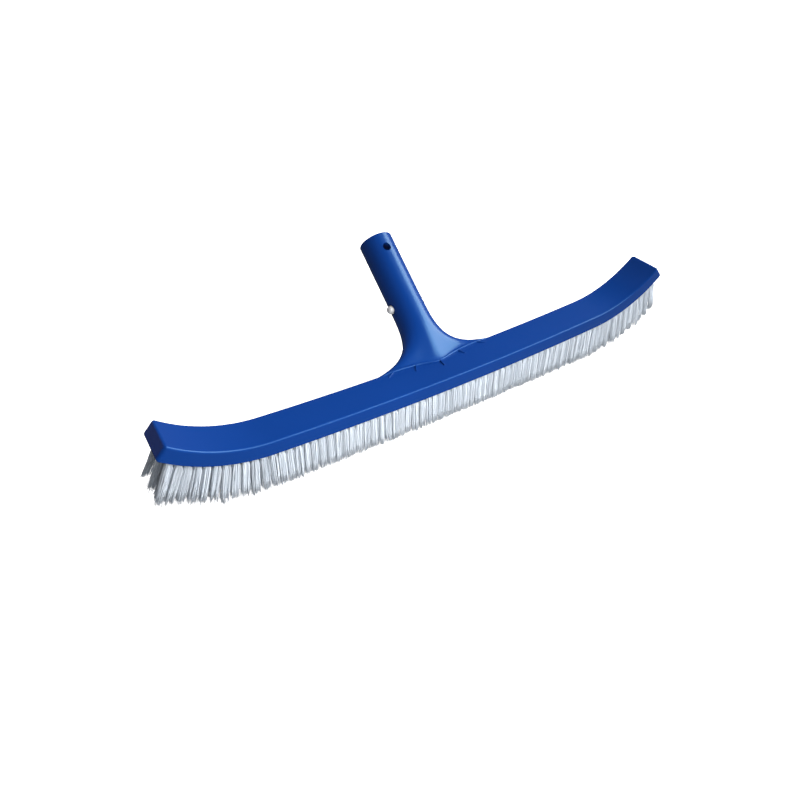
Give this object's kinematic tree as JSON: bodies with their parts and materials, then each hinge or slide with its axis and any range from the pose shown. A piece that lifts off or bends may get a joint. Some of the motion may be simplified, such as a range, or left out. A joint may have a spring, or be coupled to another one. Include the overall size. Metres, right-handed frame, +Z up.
{
  "type": "pool wall brush",
  "caption": "Curved-back pool wall brush with staggered rows of bristle tufts under an upturned bar, and a leaning tubular spigot with spring snap buttons for a telescopic pole.",
  "frame": {"origin": "bottom centre of the brush's box: the bristle tips at mid length stand on z = 0", "axes": "+X along the brush, +Y the way the spigot leans, +Z up"},
  "size_m": [0.4675, 0.134, 0.1132],
  "materials": {
    "blue_plastic": "semi-gloss moulded plastic",
    "bristle": "satin nylon filament",
    "spring_steel": "bright rolled spring strip",
    "button_metal": "satin turned steel",
    "staple_wire": "drawn flat wire"
  },
  "bodies": {
    "brush": {"back": "blue_plastic", "handle_socket": "blue_plastic", "clip_bend": "spring_steel", "tuft_row_1": "bristle", "tuft_row_2": "bristle", "tuft_row_3": "bristle", "tuft_row_4": "bristle", "tuft_row_5": "bristle", "anchor_row_1": "staple_wire", "anchor_row_2": "staple_wire", "anchor_row_3": "staple_wire", "anchor_row_4": "staple_wire", "anchor_row_5": "staple_wire"},
    "left_button": {"clip_arm_left": "spring_steel", "button_left": "button_metal"},
    "right_button": {"clip_arm_right": "spring_steel", "button_right": "button_metal"}
  },
  "joints": [
    {"name": "left_button_press", "type": "hinge", "parent": "brush", "child": "left_button", "pos_m": [-0.0075, 0.03585, 0.08526], "axis": [0, -0.5864, 0.81], "range_deg": [0, 6.6], "stiffness_Nm_per_rad": 0.5, "springref_deg": -11.46},
    {"name": "right_button_press", "type": "hinge", "parent": "brush", "child": "right_button", "pos_m": [0.0075, 0.03585, 0.08526], "axis": [0, 0.5864, -0.81], "range_deg": [0, 6.6], "stiffness_Nm_per_rad": 0.5, "springref_deg": -11.46}
  ]
}
